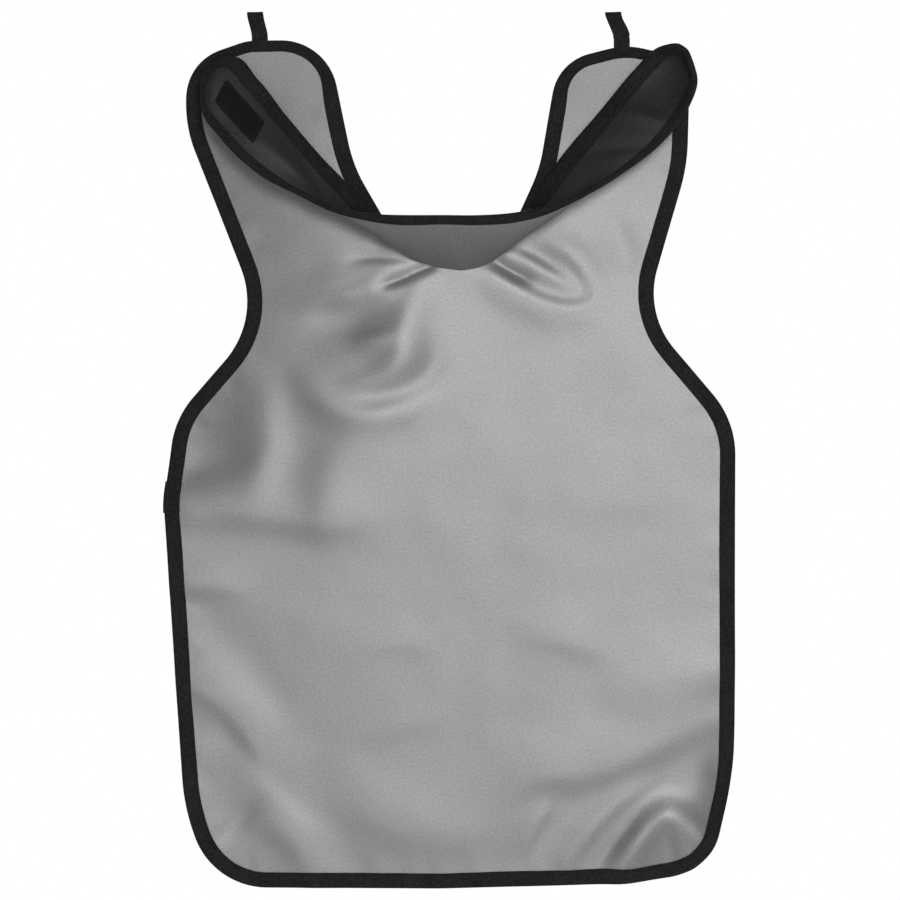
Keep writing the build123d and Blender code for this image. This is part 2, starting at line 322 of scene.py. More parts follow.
# Each fold: path (X, Z), rise, reach to the left and right, and the share of the rise kept at
# its start and at its end, none where they are left out.
FOLDS = (
    # slow bends: the left flank and the shoulders fall back, the middle stands forward
    ([(-266, -110), (-262, -230), (-262, -330)], -18.8, 100, 100, 0.7, 0.9),
    ([(-120, -150), (-70, -168), (0, -190)], 1.6, 26, 30, 0.3, 0.4),
    ([(-240, -80), (-246, -150)], -6.0, 70, 70, 0.6, 0.9),
    ([(-212, -70), (-190, -130), (-165, -200), (-164, -245), (-190, -285)], -3.4, 44, 44, 0.6, 0.3),
    ([(130, -140), (190, -150)], -3.0, 56, 60, 0.5, 0.5),
    # gathers that leave the neck seam towards the left
    ([(-30, -197), (-60, -195), (-90, -197)], -1.4, 5, 6, 0.8),
    ([(-30, -203), (-60, -211), (-92, -223), (-122, -232)], 3.0, 9, 22, 0.5, 0.5),
    ([(-15, -201), (-38, -211), (-64, -221)], -3.2, 5, 6, 1.0),
    ([(-46, -220), (-70, -227), (-100, -233)], 2.0, 9, 7, 0.6, 0.1),
    # hollows inside the main lobe
    ([(-60, -244), (-84, -246), (-108, -243)], -1.5, 13, 24, 0.4, 0.3),
    ([(-44, -258), (-62, -263), (-82, -266)], 1.6, 8, 8, 0.4, 0.1),
    ([(-46, -276), (-66, -285), (-90, -291)], -1.5, 10, 12, 0.4, 0.3),
    # the main lobe down from the seam
    ([(-14, -204), (-30, -222), (-38, -242), (-34, -262), (-46, -280), (-70, -294), (-98, -303)],
     7.6, 50, 32, 0.05, 0.5),
    ([(-14, -212), (-32, -232), (-37, -254), (-40, -276), (-58, -293), (-84, -301)],
     2.2, 15, 12, 0.3, 0.5),
    ([(-10, -262), (-14, -284), (-38, -302), (-68, -309), (-94, -304)], -2.4, 12, 12, 0.4, 0.3),
    # second lobe under it
    ([(-124, -286), (-109, -311), (-83, -322), (-47, -319), (-14, -303)], 2.8, 15, 14, 0.2, 0.1),
    # the step up to the middle of the panel
    ([(-40, -336), (-72, -350), (-88, -372), (-94, -414)], 5.2, 48, 28, 0.1, 0.4),
    # left column and the hollow beside it
    ([(-154, -290), (-153, -330), (-157, -362), (-168, -392)], 3.2, 18, 24, 0.2, 0.2),
    ([(-224, -356), (-192, -352), (-164, -340)], -6.0, 46, 26, 0.9, 0.2),
    ([(-222, -400), (-180, -400), (-140, -404), (-98, -410), (-50, -406)], 3.0, 26, 15, 1.0),
    # gathers that leave the seam towards the right
    ([(2, -207), (30, -210), (52, -222), (72, -233), (96, -239), (116, -234), (122, -222)],
     2.6, 8, 16, 0.5, 0.4),
    ([(34, -197), (50, -207), (70, -216)], -2.6, 5, 6, 0.8),
    ([(40, -190), (60, -198), (82, -211), (104, -221)], 1.6, 6, 7, 0.7, 0.2),
    ([(58, -186), (74, -194), (90, -206)], -1.2, 7, 7, 0.6),
    ([(76, -177), (94, -188), (108, -202), (118, -220)], 2.2, 12, 8, 0.4, 0.5),
    ([(126, -158), (139, -184), (146, -216)], -1.5, 12, 14, 0.3, 0.1),
    # waist and middle, broad and shallow
    ([(120, -250), (160, -300), (190, -350)], 1.6, 30, 30, 0.2, 0.2),
    ([(80, -385), (130, -392), (190, -388)], 0.7, 20, 16, 0.1, 0.1),
    ([(-80, -510), (-40, -507), (0, -513)], 0.7, 18, 10),
    ([(50, -500), (90, -505), (130, -519)], 1.1, 18, 11),
    ([(-222, -460), (-196, -460), (-162, -464)], 2.0, 18, 11, 1.0),
    ([(-216, -484), (-190, -500), (-160, -534), (-130, -580)], -0.8, 18, 18, 0.5, 0.2),
    # lower left
    ([(-216, -536), (-186, -556), (-162, -582), (-142, -616)], 2.0, 26, 11, 1.0, 0.1),
    ([(-226, -606), (-216, -680)], 3.4, 42, 42, 0.4, 0.8),
    ([(-178, -600), (-150, -632), (-126, -656), (-100, -672)], 1.4, 12, 18, 0.3, 0.2),
    ([(-184, -668), (-170, -650), (-154, -636)], -1.4, 8, 9, 0.5),
    ([(-160, -652), (-138, -661), (-120, -678), (-110, -704)], 2.2, 16, 12, 0.2, 0.6),
    ([(-96, -622), (-60, -648), (-16, -662), (36, -654)], 2.6, 34, 22, 0.1, 0.3),
    ([(-76, -586), (-40, -576), (-4, -564)], 0.8, 16, 11),
    # lower right, the fan of folds from the corner
    ([(28, -652), (44, -630), (68, -614), (110, -612), (150, -597), (220, -560)],
     3.8, 34, 16, 0.1, 0.6),
    ([(130, -548), (196, -532), (236, -516)], 3.4, 30, 24, 0.2, 1.0),
    ([(56, -676), (68, -654), (82, -634)], 1.8, 12, 8, 0.5, 0.1),
    ([(90, -690), (112, -660), (136, -637), (164, -618)], 2.6, 12, 9, 0.5, 0.3),
    ([(136, -698), (150, -672), (164, -654), (177, -645), (190, -655), (204, -672)],
     7.0, 14, 12, 0.9, 0.9),
    ([(118, -692), (140, -664), (160, -643)], -1.6, 6, 8, 0.6, 0.1),
    ([(156, -726), (186, -716)], -17.0, 34, 34, 1.0, 1.0),
    ([(227, -604), (229, -656)], -9.5, 17, 19, 0.7, 0.6),
    ([(181, -656), (186, -670), (196, -690)], 2.2, 6, 6, 0.4, 0.8),
)

GRID = 1.5
grid_x = np.arange(-250, 250.1, GRID)
grid_z = np.arange(-725, 0.1, GRID)

outline = filleted(OUTLINE, OUTLINE_STEP)
outline_in = inward_of(outline)
outline_run = np.arange(len(outline)) * OUTLINE_STEP


def noise(shape, scale, rng):
    """Smooth random relief of about unit height; scale is in grid cells."""
    rough = rng.standard_normal(shape)
    fz = np.fft.fftfreq(shape[0])[:, None]
    fx = np.fft.rfftfreq(shape[1])[None, :]
    soft = np.exp(-((fz**2 + fx**2) * (scale * math.pi) ** 2))
    relief = np.fft.irfft2(np.fft.rfft2(rough) * soft, s=shape)
    return relief / relief.std()


def panel_relief():
    """How far the sheet's middle stands towards the viewer, on the grid."""
    rng = np.random.default_rng(SEED)
    height = np.zeros((len(grid_z), len(grid_x)))
    for fold in FOLDS:
        add_fold(height, grid_x, grid_z, *fold)
    height += 0.10 * noise(height.shape, 9, rng)
    height += 0.30 * noise(height.shape, 26, rng)
    # small gathers along the binding's seam
    distance, index = nearest(grid_points(grid_x, grid_z), outline)
    run = outline_run[index]
    ripple = np.sin(run / 4.6 + 1.7 * np.sin(run / 31.0)) + 0.7 * np.sin(run / 7.9 + 2.0)
    swell = np.exp(-(((distance - 15) / 9) ** 2)) * ripple
    height += 0.16 * swell.reshape(height.shape)
    # the tabs' tops lie flat where the hanging loops are sewn
    return height * eased((-grid_z[:, None] - 24) / 60)


relief = panel_relief()
slope_z, slope_x = np.gradient(relief, GRID)


def sampled(grid, points, xs=grid_x, zs=grid_z):
    """Bilinear value of a grid at points."""
    fx = np.clip((points[:, 0] - xs[0]) / GRID, 0, len(xs) - 1.001)
    fz = np.clip((points[:, 1] - zs[0]) / GRID, 0, len(zs) - 1.001)
    ix, iz = fx.astype(int), fz.astype(int)
    tx, tz = fx - ix, fz - iz
    top = grid[iz, ix] * (1 - tx) + grid[iz, ix + 1] * tx
    bottom = grid[iz + 1, ix] * (1 - tx) + grid[iz + 1, ix + 1] * tx
    return top * (1 - tz) + bottom * tz


def on_panel(points, off):
    """Places flat points on the hanging panel, off millimetres in front of its middle."""
    height = sampled(relief, points)
    slopes = [sampled(slope_x, points), np.ones(len(points)), sampled(slope_z, points)]
    normal = -unit(np.stack(slopes, 1))
    middle = np.stack([points[:, 0], -height, points[:, 1]], 1)
    return middle + normal * off, normal


# ------------ the collar's surface

stations = np.array(COLLAR_STATIONS, float)
station_middle = stations[:, :2].mean(1) + stations[:, 2] * 0.6
station_run = run_along(station_middle)
COLLAR_LENGTH = station_run[-1]


def hermite(at, knots, values):
    """A smooth curve through values at knots."""
    slope = np.gradient(values, knots, axis=0)
    i = np.clip(np.searchsorted(knots, at, side="right") - 1, 0, len(knots) - 2)
    h = (knots[i + 1] - knots[i])[:, None]
    t = ((at - knots[i]) / h[:, 0])[:, None]
    return (
        (1 + 2 * t) * (1 - t) ** 2 * values[i]
        + t * (1 - t) ** 2 * h * slope[i]
        + t * t * (3 - 2 * t) * values[i + 1]
        + t * t * (t - 1) * h * slope[i + 1]
    )


# Creases of the collar, on its flat cloth: along from the left tip, across from the foot.
COLLAR_FOLDS = (
    ([(44, 40), (70, 30), (100, 24), (128, 22)], -1.8, 5, 8, 0.2, 0.1),
    ([(96, 12), (124, 16), (150, 24)], 1.2, 6, 8),
    ([(16, 12), (26, 30)], 1.0, 5, 5, 0.2, 0.2),
    ([(396, 8), (412, 24), (424, 40)], 1.5, 6, 7, 0.3, 0.3),
    ([(436, 6), (446, 26), (452, 42)], -1.6, 6, 6, 0.3, 0.3),
    ([(330, 34), (362, 26), (390, 24)], 1.2, 7, 9, 0.1, 0.1),
    ([(196, 2), (204, 16), (206, 30)], 1.0, 4, 6, 1.0),
    ([(262, 2), (256, 14), (252, 30)], 1.0, 4, 5, 1.0),
    ([(236, 1), (238, 12), (234, 26)], -0.8, 4, 4, 1.0),
)
collar_x = np.arange(-12, COLLAR_LENGTH + 12, GRID)
collar_z = np.arange(-12, COLLAR_WIDTH + 12, GRID)
collar_relief = np.zeros((len(collar_z), len(collar_x)))
for fold in COLLAR_FOLDS:
    add_fold(collar_relief, collar_x, collar_z, *fold)


def collar_base(points):
    """The collar's middle surface without its creases."""
    q = (points[:, 1] / COLLAR_WIDTH)[:, None]
    rim = hermite(points[:, 0], station_run, stations[:, 0])
    edge = hermite(points[:, 0], station_run, stations[:, 1])
    swell = hermite(points[:, 0], station_run, stations[:, 2])
    return edge + (rim - edge) * q + swell * 4 * q * (1 - q)


def normal_of(surface, points):
    """Unit normal of a surface that maps flat points, towards the collar's outer side."""
    step = 0.4
    along = surface(points + [step, 0]) - surface(points - [step, 0])
    across = surface(points + [0, step]) - surface(points - [0, step])
    return unit(np.cross(along, across))


def collar_middle(points):
    """The collar's middle surface, with its creases."""
    crease = sampled(collar_relief, points, collar_x, collar_z)
    return collar_base(points) + normal_of(collar_base, points) * crease[:, None]


def on_collar(points, off):
    """Places flat points on the collar, off millimetres to its grey outer side."""
    normal = normal_of(collar_middle, points)
    return collar_middle(points) + normal * off, normal


def collar_flat_at(x, z):
    """The collar's flat point that stands nearest to a place seen from the front."""
    points = grid_points(np.arange(0, COLLAR_LENGTH, 1.0), np.arange(2, COLLAR_WIDTH - 1, 1.0))
    placed = collar_base(points)
    return points[np.argmin((placed[:, 0] - x) ** 2 + (placed[:, 2] - z) ** 2)]


# ------------ mesh builders


def shown(name, data):
    """A new object in the scene."""
    made = bpy.data.objects.new(name, data)
    bpy.context.scene.collection.objects.link(made)
    return made


def volume_of(points, faces):
    """Six times the signed volume inside a closed mesh."""
    total = 0.0
    for size in {len(f) for f in faces}:
        group = np.array([f for f in faces if len(f) == size])
        for k in range(1, size - 1):
            a, b, c = points[group[:, 0]], points[group[:, k]], points[group[:, k + 1]]
            total += (a * np.cross(b, c)).sum()
    return total


def make_piece(name, points, faces, material, normals=None, flat=None):
    """An object from points in millimetres; flat is each corner's place on the cut cloth."""
    if volume_of(points, faces) < 0:
        faces = [f[::-1] for f in faces]
    mesh = bpy.data.meshes.new(name)
    mesh.from_pydata((points * MM).tolist(), [], [list(map(int, f)) for f in faces])
    mesh.validate()
    mesh.shade_smooth()
    if flat is not None:
        layer = mesh.uv_layers.new(name="cut")
        corner = np.zeros(len(mesh.loops), int)
        mesh.loops.foreach_get("vertex_index", corner)
        layer.data.foreach_set("uv", (flat[corner] * MM).astype(np.float32).ravel())
    if normals is not None:
        mesh.normals_split_custom_set_from_vertices(normals.tolist())
    mesh.materials.append(material)
    return shown(name, mesh)


def flat_mesh(loop, pitch_at, halvings=1):
    """Triangles that fill a loop, with points about pitch_at apart; loop points come first."""
    low, high = loop.min(0), loop.max(0)
    rng = np.random.default_rng(SEED)
    chosen = []
    for pitch in (FINE, COARSE):
        rows = np.arange(low[1], high[1], pitch * ROW_SPACING)
        cells = []
        for k, z in enumerate(rows):
            xs = np.arange(low[0] + (k % 2) * pitch / 2, high[0], pitch)
            cells.append(np.stack([xs, np.full(len(xs), z)], 1))
        cells = np.vstack(cells)
        cells += rng.uniform(-JITTER, JITTER, cells.shape) * pitch
        wants_fine = pitch_at(cells) < (FINE + COARSE) / 2
        cells = cells[wants_fine == (pitch == FINE)]
        cells = cells[inside(cells, loop)]
        if len(cells):
            distance, _ = nearest(cells, loop)
            chosen.append(cells[distance > pitch * CLEAR_OF_LOOP])
    points = np.vstack([loop, *chosen])
    count = len(loop)
    edges = [(i, (i + 1) % count) for i in range(count)]
    found = delaunay_2d_cdt(points.tolist(), edges, [], 1, 1e-6)
    points = np.array([list(p) for p in found[0]])
    triangles = np.array(found[2])
    for _ in range(halvings):
        points, triangles = halved(points, triangles)
    return points, triangles


def edges_of(triangles):
    """The directed edges: first every ab, then every bc, then every ca."""
    return np.vstack([triangles[:, [0, 1]], triangles[:, [1, 2]], triangles[:, [2, 0]]])


def halved(points, triangles):
    """Every triangle cut into four."""
    edges = edges_of(triangles)
    unique, back = np.unique(np.sort(edges, 1), axis=0, return_inverse=True)
    back = back.reshape(-1)
    middles = points[unique].mean(1)
    count = len(triangles)
    ab, bc, ca = (back[k * count : (k + 1) * count] + len(points) for k in range(3))
    a, b, c = triangles.T
    corners = ((a, ab, ca), (ab, b, bc), (ca, bc, c), (ab, bc, ca))
    finer = np.vstack([np.stack(three, 1) for three in corners])
    return np.vstack([points, middles]), finer


def border_of(triangles):
    """Directed edges that only one triangle uses."""
    edges = edges_of(triangles)
    key = np.sort(edges, 1)
    _, back, count = np.unique(key, axis=0, return_inverse=True, return_counts=True)
    return edges[count[back.reshape(-1)] == 1]


def shell(name, filled, place, front, back, material):
    """A closed sheet between two distances from the middle surface."""
    points, triangles = filled
    area = np.cross(
        points[triangles[:, 1]] - points[triangles[:, 0]],
        points[triangles[:, 2]] - points[triangles[:, 0]],
    )
    triangles = np.where(area[:, None] > 0, triangles, triangles[:, ::-1])
    near, normal = place(points, front)
    far, _ = place(points, back)
    count = len(points)
    border = border_of(triangles)
    rim = np.stack([border[:, 1], border[:, 0], border[:, 0] + count, border[:, 1] + count], 1)
    faces = triangles.tolist() + (triangles[:, ::-1] + count).tolist() + rim.tolist()
    normals = np.vstack([normal, -normal]) * np.sign(front - back)
    flat = np.vstack([points, points])
    return make_piece(name, np.vstack([near, far]), faces, material, normals, flat)


def everywhere(pitch):
    """The same mesh pitch at every point."""
    return lambda points: np.full(len(points), pitch)


def tube_faces(first, rings, size, turned=1):
    """The sides of a tube whose points come ring by ring, from number first on."""
    faces = []
    for start in range(first, first + (rings - 1) * size, size):
        for k in range(size):
            a = start + k
            b = start + (k + 1) % size
            faces.append((a, b, b + size, a + size)[::turned])
    return faces


def closed_tubes(turns, rings, size):
    """Sides and ends of one tube for each turn; a turn of -1 faces its tube the other way."""
    faces = []
    for s, turned in enumerate(turns):
        first = s * rings * size
        last = first + (rings - 1) * size
        faces += tube_faces(first, rings, size, turned)
        faces.append(tuple(range(first, first + size))[::-turned])
        faces.append(tuple(range(last, last + size))[::turned])
    return faces


def swept(name, lines, cuts):
    """A black tape swept along lines, one for each corner of its section, with flat ends.

    cuts are the same lines on the cut cloth. The ends have corners of their own.
    """
    rings, flats = np.stack(lines, 1), np.stack(cuts, 1)
    count, size = rings.shape[:2]
    points = rings.reshape(-1, 3)
    faces = tube_faces(0, count, size)
    base = count * size
    ends = (tuple(range(base, base + size))[::-1], tuple(range(base + size, base + 2 * size)))
    along = np.gradient(rings, axis=0)
    across = np.roll(rings, -1, 1) - np.roll(rings, 1, 1)
    normals = unit(np.cross(across, along))
    caps = unit(np.repeat(np.stack([-along[0].mean(0), along[-1].mean(0)]), size, 0))
    points = np.vstack([points, rings[0], rings[-1]])
    faces += ends
    # the normals turn with the faces if the sections run the other way round
    normals = normals.reshape(-1, 3) * np.sign(volume_of(points, faces))
    flat = np.vstack([flats.reshape(-1, 2), flats[0], flats[-1]])
    return make_piece(name, points, faces, black_tape, np.vstack([normals, caps]), flat)


def flange_section(half, width):
    """One side of a folded tape, from its sewn edge to its fold: inset and height."""
    outer = half + TAPE
    points = [(width, half + 0.15), (width - 0.1, outer - 0.15), (width - 0.6, outer)]
    if width > STITCH_INSET:
        points += [
            (STITCH_INSET + 1.0, outer),
            (STITCH_INSET, outer - 0.28),
            (STITCH_INSET - 1.0, outer),
            (6.5, outer + 0.12),
            (3.0, outer + 0.05),
        ]
    return points + [(1.0, outer - 0.25), (0.15, outer - 1.1)]


def edge_share(path):
    """The share of its full width that the panel's tape keeps: it narrows over the tab tops."""
    return 1 - 0.26 * eased((path[:, 1] + 75) / 50)


def collar_share(path):
    """The share of its full width that the collar's tape keeps: least along the rim."""
    return 0.80 - 0.24 * path[:, 1] / COLLAR_WIDTH


def folded_tape(name, run, place, half, front=FLANGE, back=FLANGE, share=1.0):
    """A woven tape folded over an edge: a swept channel with soft edges and a seam dip."""
    path, inward = run
    outer = half + TAPE
    section = flange_section(half, front)
    section += [(-0.15, outer * 0.35), (-0.15, -outer * 0.35)]
    section += [(d, -n) for d, n in flange_section(half, back)[::-1]]
    section += [(min(4.0, back - 0.5), -half - 0.02), (0.9, -half - 0.02)]
    section += [(0.9, half + 0.02), (min(4.0, front - 0.5), half + 0.02)]
    rng = np.random.default_rng(SEED)
    count = len(path)
    knots = np.arange(0, count + 12, 12)
    wander = np.interp(np.arange(count), knots, rng.normal(0, 0.22, len(knots)))
    along = run_along(path)
    lines = []
    cuts = []
    across = 0.0
    last = section[0]
    for d, n in section:
        across += math.hypot(d - last[0], n - last[1])
        last = (d, n)
        shift = wander * (1.0 if d > 8 else 0.3)
        lines.append(place(path + inward * (d * share + shift)[:, None], n)[0])
        cuts.append(np.stack([along, np.full(count, across)], 1))
    return swept(name, lines, cuts)


# A stitch, ring by ring: step along the row, height over the tape, and thickness.
STITCH_PROFILE = (
    (0, -0.30, 0.10),
    (1, -0.02, 0.24),
    (2, 0.06, 0.27),
    (3, -0.02, 0.24),
    (4, -0.30, 0.10),
)
THREAD_SIDES = 6
# Steps from one stitch to the next.
PITCH_STEPS = 6


def thread_row(starts, line, cross, place, off, face):
    """Rings of points round each stitch of one row, as (stitch, ring * side, 3)."""
    rings = []
    for step, dip, radius in STITCH_PROFILE:
        for k in range(THREAD_SIDES):
            angle = k * math.pi / 3
            at = line[starts + step] + cross[starts + step] * radius * math.cos(angle)
            height = face * (abs(off) + dip + radius * math.sin(angle))
            rings.append(place(at, height)[0])
    return np.stack(rings, 1)


def stitches(name, run, place, off, inset=STITCH_INSET, pitch=STITCH_PITCH, both=True):
    """A row of short thread stitches along a path, on one or both sides of the sheet."""
    path, inward = run
    line = resampled(path + inward * np.reshape(inset, (-1, 1)), pitch / PITCH_STEPS, False)
    cross = right_of(np.gradient(line, axis=0))
    starts = np.arange(0, len(line) - PITCH_STEPS, PITCH_STEPS)
    sides = (1, -1) if both else (1 if off > 0 else -1,)
    rows = [thread_row(starts, line, cross, place, off, face).reshape(-1, 3) for face in sides]
    faces = closed_tubes(np.repeat(sides, len(starts)), len(STITCH_PROFILE), THREAD_SIDES)
    return make_piece(name, np.vstack(rows), faces, black_thread)


# The loop tape's section, 13 mm wide and 1 mm thick.
STRAP_TOP = ((-6.3, 0.36), (-5.6, 0.5), (-2.0, 0.44), (2.0, 0.44), (5.6, 0.5), (6.3, 0.36))
STRAP_UNDER = ((6.3, -0.36), (5.6, -0.5), (-5.6, -0.5), (-6.3, -0.36))
STRAP_SECTION = ((-6.5, 0.0), *STRAP_TOP, (6.5, 0.0), *STRAP_UNDER)
STRAP_STEP = 0.9
# The loop bends round the rail with this radius, and tops out this high over the rail's axis.
LOOP_RADIUS = 4.35
LOOP_TOP = 5.0


def tape_loop(name, centre, foot, shift, twist):
    """A hanging loop: up round the rail's place and back down to its foot.

    shift is how far the foot stands to the right of the loop's middle and the top to its left;
    twist sets the back leg aside, so that a sliver of it shows past the front leg.
    """
    foot = np.array(foot)
    angles = np.radians(np.linspace(-22, 202, 16))
    arc = LOOP_RADIUS * np.stack([np.cos(angles), np.sin(angles)], 1)
    reach = np.linspace(0, 0.9, 8)[:, None]
    first = foot + [0.5, -0.8]
    last = foot + [-0.5, -0.8]
    up = first + (arc[0] - first) * reach
    down = last + (arc[-1] - last) * reach[::-1]
    path = resampled(np.vstack([up, arc, down]), STRAP_STEP, False)
    outward = right_of(np.gradient(path, axis=0))
    rise = (path[:, 1] - foot[1]) / (LOOP_TOP - foot[1])
    behind = path[:, 0] > path[:, 0].mean()
    aside = shift * (1 - 2 * eased(rise)) - twist * np.sin(np.pi * np.clip(rise, 0, 1)) * behind
    lines = []
    cuts = []
    along = np.arange(len(path)) * STRAP_STEP
    for x, n in STRAP_SECTION:
        across = centre + aside + x
        depth = path[:, 0] + outward[:, 0] * n - 0.05 * shift * rise * x
        lines.append(np.stack([across, depth, path[:, 1] + outward[:, 1] * n], 1))
        cuts.append(np.stack([along, np.full(len(path), x + (0 if n >= 0 else 20))], 1))
    return swept(name, lines, cuts)


def rectangle(centre, size, radius):
    """A rounded rectangle on the flat cloth, as a closed run."""
    half = np.array(size) / 2
    signs = ((-1, -1), (-1, 1), (1, 1), (1, -1))
    path = filleted([(*(centre + half * sign), radius) for sign in signs], 1.0)
    return path, inward_of(path)


# A filament's bends: share of its lean, share of its height, and thickness.
FILAMENT_PROFILE = ((0, -0.1, 0.16), (0.2, 0.7, 0.15), (0.6, 1.0, 0.14), (1, 0.75, 0.1))
FILAMENT_SIDES = 4


def bristles(name, run, place, off, tall, pitch, material):
    """Rows of tiny bent filaments standing on a strip: each a bent four-sided tube."""
    path, inward = run
    rng = np.random.default_rng(SEED)
    low, high = path.min(0), path.max(0)
    roots = grid_points(*(np.arange(low[k], high[k], pitch) for k in (0, 1)))
    roots += rng.uniform(-0.3, 0.3, roots.shape) * pitch
    roots = roots[inside(roots, path + inward * 2.4)]
    lean = rng.uniform(0, 2 * math.pi, len(roots))
    lean = np.stack([np.cos(lean), np.sin(lean)], 1) * pitch * 0.55
    side = 1 if off > 0 else -1
    rings = []
    for reach, height, radius in FILAMENT_PROFILE:
        for k in range(FILAMENT_SIDES):
            angle = k * math.pi / 2
            at = roots + lean * reach + [radius * math.cos(angle), radius * math.sin(angle)]
            rings.append(place(at, off + side * tall * height)[0])
    points = np.stack(rings, 1).reshape(-1, 3)
    faces = closed_tubes([1] * len(roots), len(FILAMENT_PROFILE), FILAMENT_SIDES)
    return make_piece(name, points, faces, material)


# ------------ materials


def new_material(name):
    """A material with its node tree and its one shader."""
    material = bpy.data.materials.new(name)
    material.use_nodes = True
    tree = material.node_tree
    return material, tree, tree.nodes["Principled BSDF"]


def add_node(tree, kind, inputs=None, **settings):
    """A node with settings, whose inputs are sockets to link or values to set."""
    made = tree.nodes.new(kind)
    for key, value in settings.items():
        setattr(made, key, value)
    for key, value in (inputs or {}).items():
        if isinstance(value, bpy.types.NodeSocket):
            tree.links.new(value, made.inputs[key])
        else:
            made.inputs[key].default_value = value
    return made


def arithmetic(tree, operation, *values):
    """The result of a Math node on sockets or numbers."""
    made = add_node(tree, "ShaderNodeMath", dict(enumerate(values)), operation=operation)
    return made.outputs[0]


def weighted(tree, *terms):
    """The sum of (value, weight) pairs."""
    total = 0.0
    for value, weight in terms:
        total = arithmetic(tree, "MULTIPLY_ADD", value, weight, total)
    return total


def cut_coordinates(tree):
    """The place on the cut cloth, in metres, whole and as X and Y."""
    source = add_node(tree, "ShaderNodeUVMap", uv_map="cut").outputs["UV"]
    split = add_node(tree, "ShaderNodeSeparateXYZ", {"Vector": source})
    return source, split.outputs["X"], split.outputs["Y"]


def threads(tree, value, pitch):
    """A rounded rib from 0 to 1, once every pitch metres."""
    angle = arithmetic(tree, "MULTIPLY", value, 2 * math.pi / pitch)
    wave = arithmetic(tree, "SINE", angle)
    return arithmetic(tree, "MULTIPLY_ADD", wave, 0.5, 0.5)


def noise_of(tree, place, scale, detail):
    """Noise from 0 to 1, with scale in cells to the metre."""
    inputs = {"Vector": place, "Scale": scale, "Detail": detail}
    return add_node(tree, "ShaderNodeTexNoise", inputs).outputs["Fac"]


def mixed_colour(tree, factor, dark, light):
    """The colour that lies factor of the way from dark to light."""
    made = add_node(tree, "ShaderNodeMix", data_type="RGBA")
    tree.links.new(factor, made.inputs["Factor"])
    made.inputs[6].default_value = (*dark, 1)
    made.inputs[7].default_value = (*light, 1)
    return made.outputs[2]


def set_gloss(shader, **values):
    """Constant finish values, on the shader's own sockets."""
    for key, value in values.items():
        shader.inputs[key.replace("_", " ")].default_value = value


def finish(tree, shader, colour, height, distance, strength, **gloss):
    """Links the colour and a bump of some height to the shader, and sets its gloss."""
    tree.links.new(colour, shader.inputs["Base Color"])
    inputs = {"Height": height, "Distance": distance, "Strength": strength}
    bump = add_node(tree, "ShaderNodeBump", inputs)
    tree.links.new(bump.outputs["Normal"], shader.inputs["Normal"])
    set_gloss(shader, **gloss)


def painted_tab_shade(tree, colour, y, share):
    """The colour, losing a share of its brightness up the tabs: painted shade on the shoulders."""
    inputs = {"Value": y, "From Min": -0.17, "From Max": -0.05, "To Min": 1.0, "To Max": 1 - share}
    kept = add_node(tree, "ShaderNodeMapRange", inputs, interpolation_type="SMOOTHSTEP")
    inputs = {"Color": colour, "Value": kept.outputs[0]}
    return add_node(tree, "ShaderNodeHueSaturation", inputs).outputs["Color"]


def cover_cloth(name, dark, light, roughness, silk, tab_shade_share=0.0, pitch=0.0007):
    """Satin nylon: a fine plain weave, faint mottling and duller, handled patches, with painted
    shade up the tabs when a share is given.

    silk is the share of the light that the weave throws back in a broad highlight.
    """
    material, tree, shader = new_material(name)
    place, x, y = cut_coordinates(tree)
    weave = arithmetic(tree, "MULTIPLY", threads(tree, x, pitch), threads(tree, y, pitch))
    grain = noise_of(tree, place, 520.0, 3.0)
    patch = noise_of(tree, place, 14.0, 4.0)
    shade = weighted(tree, (weave, 0.2), (grain, 1.3), (patch, 0.3), (1.0, -0.37))
    colour = mixed_colour(tree, shade, dark, light)
    # painted shade: the colour darkens up the tabs
    if tab_shade_share:
        colour = painted_tab_shade(tree, colour, y, tab_shade_share)
    rough = weighted(tree, (patch, 0.10), (1.0, roughness - 0.05))
    tree.links.new(rough, shader.inputs["Roughness"])
    gloss = {"Metallic": silk, "Sheen_Weight": 0.05, "Sheen_Roughness": 0.4}
    height = weighted(tree, (weave, 1.0), (grain, 0.8))
    finish(tree, shader, colour, height, 0.00010, 0.45, **gloss)
    return material


def woven_tape(name, dark, light):
    """Black binding tape: slanting ribs, lengthwise rows, lint and rubbed high spots."""
    material, tree, shader = new_material(name)
    place, x, y = cut_coordinates(tree)
    slant = arithmetic(tree, "PINGPONG", y, 0.0016)
    ribs = threads(tree, arithmetic(tree, "ADD", x, slant), 0.0009)
    rows = threads(tree, y, 0.0016)
    lint = noise_of(tree, place, 420.0, 3.0)
    rubbed = noise_of(tree, place, 60.0, 3.0)
    shade = weighted(tree, (ribs, 0.35), (lint, 1.3), (rubbed, 0.5), (1.0, -0.6))
    colour = mixed_colour(tree, shade, dark, light)
    height = weighted(tree, (ribs, 1.0), (rows, 0.4))
    gloss = {"Specular_IOR_Level": 0.18, "Sheen_Weight": 0.06, "Sheen_Roughness": 0.35}
    finish(tree, shader, colour, height, 0.00018, 0.7, Roughness=0.7, **gloss)
    return material


def plain_grain(name, dark, light, roughness, scale, depth):
    """A simple grained finish for thread, core sheet and touch fastener."""
    material, tree, shader = new_material(name)
    place = add_node(tree, "ShaderNodeTexCoord").outputs["Object"]
    grain = noise_of(tree, place, scale, 3.0)
    colour = mixed_colour(tree, grain, dark, light)
    gloss = {"Roughness": roughness, "Specular_IOR_Level": 0.3}
    finish(tree, shader, colour, grain, depth, 0.6, **gloss)
    return material


def grey(level):
    """A near neutral colour, very slightly cool."""
    return (level, level, level * 1.02)
